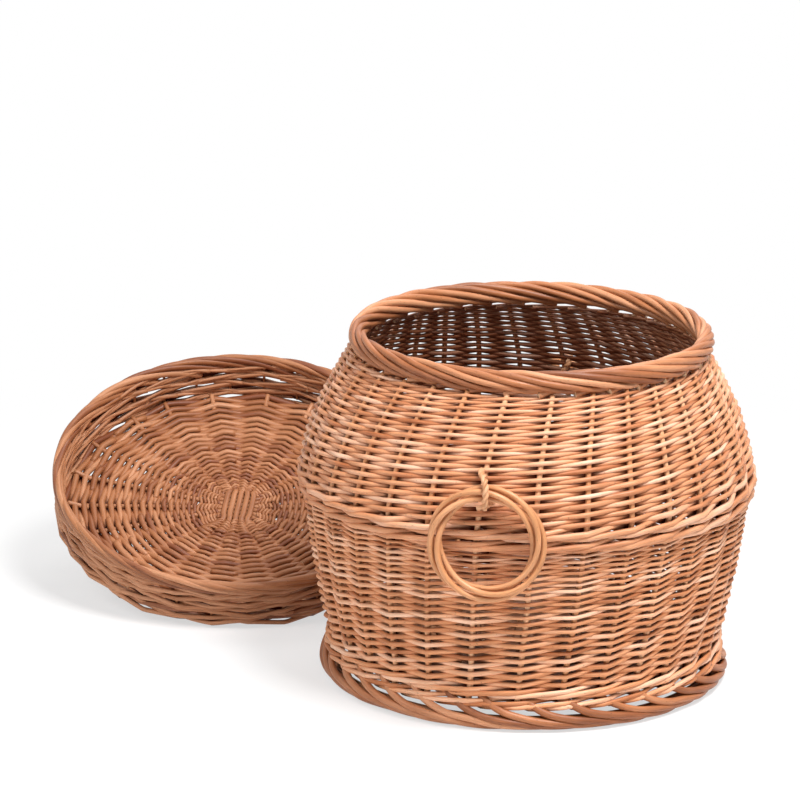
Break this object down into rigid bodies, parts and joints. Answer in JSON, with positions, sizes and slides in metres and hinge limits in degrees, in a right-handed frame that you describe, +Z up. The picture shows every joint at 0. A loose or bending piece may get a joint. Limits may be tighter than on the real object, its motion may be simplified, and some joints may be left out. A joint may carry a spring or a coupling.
{
  "type": "laundry hamper",
  "caption": "Round, barrel-shaped hamper of woven willow with a loose cap lid and hanging ring handles, for storing laundry or toys.",
  "frame": {"origin": "middle of the footprint of hamper and lid, on the floor", "axes": "+Z up; the hamper stands on the right (+X) and its lid lies behind it on the left; +Y points away from the hamper's front handle"},
  "size_m": [0.8322, 0.7152, 0.388],
  "materials": {
    "siding": "buff willow rods, woven",
    "border": "thick buff willow rods, rolled",
    "stake": "buff willow rod, satin",
    "lid": "darker buff willow rods, woven",
    "ring": "buff willow rod, wound",
    "tie": "thin willow rod, twisted"
  },
  "bodies": {
    "hamper": {"base_weave": "siding", "base_cross": "stake", "foot_border": "border", "upsett_wale": "border", "lower_wall": "siding", "waist_wale": "border", "upper_wall": "siding", "mouth_border": "border", "side_stake_01": "stake", "side_stake_02": "stake", "side_stake_03": "stake", "side_stake_04": "stake", "side_stake_05": "stake", "side_stake_06": "stake", "side_stake_07": "stake", "side_stake_08": "stake", "side_stake_09": "stake", "side_stake_10": "stake", "side_stake_11": "stake", "side_stake_12": "stake", "side_stake_13": "stake", "side_stake_14": "stake", "side_stake_15": "stake", "side_stake_16": "stake", "side_stake_17": "stake", "side_stake_18": "stake", "side_stake_19": "stake", "side_stake_20": "stake", "side_stake_21": "stake", "side_stake_22": "stake", "side_stake_23": "stake", "side_stake_24": "stake", "side_stake_25": "stake", "side_stake_26": "stake", "side_stake_27": "stake", "side_stake_28": "stake", "side_stake_29": "stake", "side_stake_30": "stake", "side_stake_31": "stake", "side_stake_32": "stake", "handle_tie_front": "tie", "handle_tie_back": "tie"},
    "lid": {"lid_border": "border", "lid_wall": "lid", "lid_weave": "lid", "lid_stick_split_1": "stake", "lid_stick_split_2": "stake", "lid_stick_split_3": "stake", "lid_stick_split_4": "stake", "lid_stick_split_5": "stake", "lid_stick_threaded_1": "stake", "lid_stick_threaded_2": "stake", "lid_stick_threaded_3": "stake", "lid_stick_threaded_4": "stake", "lid_stick_threaded_5": "stake", "lid_stick_threaded_6": "stake"},
    "handle_front": {"handle_ring_front": "ring"},
    "handle_back": {"handle_ring_back": "ring"}
  },
  "joints": [
    {"name": "lid_swing", "type": "hinge", "parent": "hamper", "child": "lid", "pos_m": [-0.00422, 0.02429, 0.2249], "axis": [0.4484, 0.8808, 0.1521], "range_deg": [0, 166.11]},
    {"name": "handle_front_swing", "type": "hinge", "parent": "hamper", "child": "handle_front", "pos_m": [0.16275, -0.34109, 0.2735], "axis": [-1, 0, 0], "range_deg": [0, 195]},
    {"name": "handle_back_swing", "type": "hinge", "parent": "hamper", "child": "handle_back", "pos_m": [0.16815, 0.16991, 0.2735], "axis": [1, 0, 0], "range_deg": [0, 195]}
  ]
}
